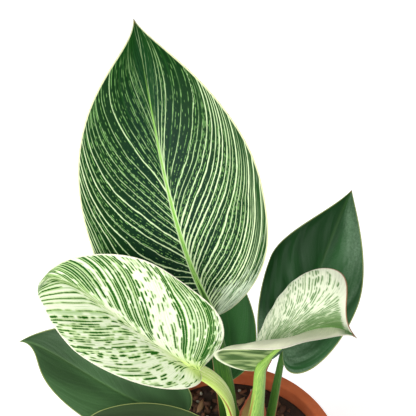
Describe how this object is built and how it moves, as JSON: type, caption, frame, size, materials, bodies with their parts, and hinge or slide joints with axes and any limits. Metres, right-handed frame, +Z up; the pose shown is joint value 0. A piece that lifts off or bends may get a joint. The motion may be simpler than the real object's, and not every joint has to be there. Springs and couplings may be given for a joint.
{
  "type": "potted birkin philodendron",
  "caption": "Potted foliage plant: striped, heart-shaped leaves on sheathed stalks round a short stem, set in soil in a tapered, collared terracotta pot.",
  "frame": {"origin": "centre of the pot's flat base, on the surface it stands on", "axes": "+Z up along the pot's axis, -Y towards the front of the plant, +X to the right seen from the front"},
  "size_m": [0.1769, 0.1993, 0.3004],
  "materials": {
    "terracotta": "unglazed fired clay, matt, with faint mineral bloom",
    "potting_soil": "crumbly peat and bark mix",
    "stem_green": "smooth green stem with ring scars",
    "leaf_striped": "satin leaf skin, deep green with pale stripes along the veins",
    "leaf_pale": "satin leaf skin, cream with green dashes along the veins",
    "leaf_dark": "satin leaf skin, plain dark green with a thin pale margin",
    "dry_sheath": "papery, reddish brown"
  },
  "bodies": {
    "root": {"pot": "terracotta", "soil": "potting_soil", "stem": "stem_green", "leaf_striped_large": "leaf_striped", "leaf_pale_left": "leaf_pale", "leaf_folded_right": "leaf_pale", "leaf_dark_right": "leaf_dark", "leaf_dark_left": "leaf_dark", "leaf_dark_front": "leaf_dark", "leaf_dark_back": "leaf_dark", "new_leaf_sheath": "dry_sheath"}
  },
  "joints": []
}
